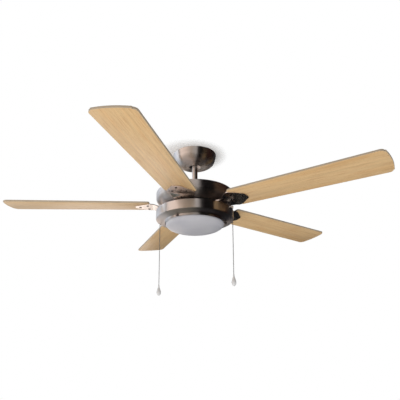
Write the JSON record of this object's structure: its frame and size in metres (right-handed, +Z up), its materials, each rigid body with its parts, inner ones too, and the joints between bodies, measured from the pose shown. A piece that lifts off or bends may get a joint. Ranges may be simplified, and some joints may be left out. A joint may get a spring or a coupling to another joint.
{
  "type": "ceiling fan with light",
  "caption": "Ceiling fan with wooden blades on a short downrod, with a shallow frosted light and pull chains.",
  "frame": {"origin": "middle of the ceiling plane, where the hanger bracket bears on the ceiling, on the fan axis", "axes": "+Z up out of the bracket into the ceiling, along the fan axis; -Y is the front, the near chain is to the front right"},
  "size_m": [1.2284, 1.2764, 0.5063],
  "materials": {
    "bronze": "dark bronze plate, finely brushed round the axis, clear lacquer",
    "dark_iron": "dark bronze sheet, satin",
    "steel": "zinc plated",
    "cast": "as cast",
    "core": "electrical steel laminations",
    "copper": "enamelled copper wire",
    "beech": "light beech veneer, satin",
    "glass": "frosted",
    "white_plastic": "smooth moulded",
    "black_plastic": "moulded",
    "chain": "nickel plated"
  },
  "bodies": {
    "ceiling_mount": {"hanger_bracket": "steel", "canopy": "bronze", "canopy_screw_1": "dark_iron", "canopy_screw_2": "dark_iron"},
    "hanging_motor": {"coupling_cover": "bronze", "coupling_pin": "steel", "downrod": "bronze", "glass_shade": "glass", "hanger_ball": "black_plastic", "hanger_pin": "steel", "led_module": "white_plastic", "light_nozzle": "chain", "light_pan": "bronze", "light_switch": "black_plastic", "motor_shaft": "steel", "reverse_switch": "black_plastic", "shaft_nut": "steel", "speed_nozzle": "chain", "speed_switch": "black_plastic", "stator_core": "core", "stator_windings": "copper", "thumbscrew_1": "dark_iron", "thumbscrew_2": "dark_iron", "thumbscrew_3": "dark_iron", "upper_housing": "bronze"},
    "rotor": {"bearing_lower": "steel", "bearing_upper": "steel", "blade_1": "beech", "blade_2": "beech", "blade_3": "beech", "blade_4": "beech", "blade_5": "beech", "blade_iron_1": "dark_iron", "blade_iron_2": "dark_iron", "blade_iron_3": "dark_iron", "blade_iron_4": "dark_iron", "blade_iron_5": "dark_iron", "blade_screw_1a": "dark_iron", "blade_screw_1b": "dark_iron", "blade_screw_1c": "dark_iron", "blade_screw_2a": "dark_iron", "blade_screw_2b": "dark_iron", "blade_screw_2c": "dark_iron", "blade_screw_3a": "dark_iron", "blade_screw_3b": "dark_iron", "blade_screw_3c": "dark_iron", "blade_screw_4a": "dark_iron", "blade_screw_4b": "dark_iron", "blade_screw_4c": "dark_iron", "blade_screw_5a": "dark_iron", "blade_screw_5b": "dark_iron", "blade_screw_5c": "dark_iron", "rotor_shell_lower": "cast", "rotor_shell_upper": "cast"},
    "speed_pull": {"speed_chain": "chain", "speed_handle": "white_plastic"},
    "light_pull": {"light_chain": "chain", "light_handle": "white_plastic"},
    "reverse_slider": {"reverse_knob": "black_plastic"}
  },
  "joints": [
    {"name": "ball_swing", "type": "hinge", "parent": "ceiling_mount", "child": "hanging_motor", "pos_m": [0, 0, -0.026], "axis": [1, 0, 0], "range_deg": [-8, 8]},
    {"name": "blade_spin", "type": "hinge", "parent": "hanging_motor", "child": "rotor", "pos_m": [0, 0, -0.2063], "axis": [0, 0, 1], "continuous": true},
    {"name": "speed_pull_slide", "type": "slide", "parent": "hanging_motor", "child": "speed_pull", "axis": [0, 0, -1], "range_m": [0, 0.005], "stiffness_N_per_m": 600, "springref_m": -0.001},
    {"name": "light_pull_slide", "type": "slide", "parent": "hanging_motor", "child": "light_pull", "axis": [0, 0, -1], "range_m": [0, 0.005], "stiffness_N_per_m": 600, "springref_m": -0.001},
    {"name": "reverse_slide", "type": "slide", "parent": "hanging_motor", "child": "reverse_slider", "axis": [-0.9848, -0.1736, 0], "range_m": [0, 0.005]}
  ]
}
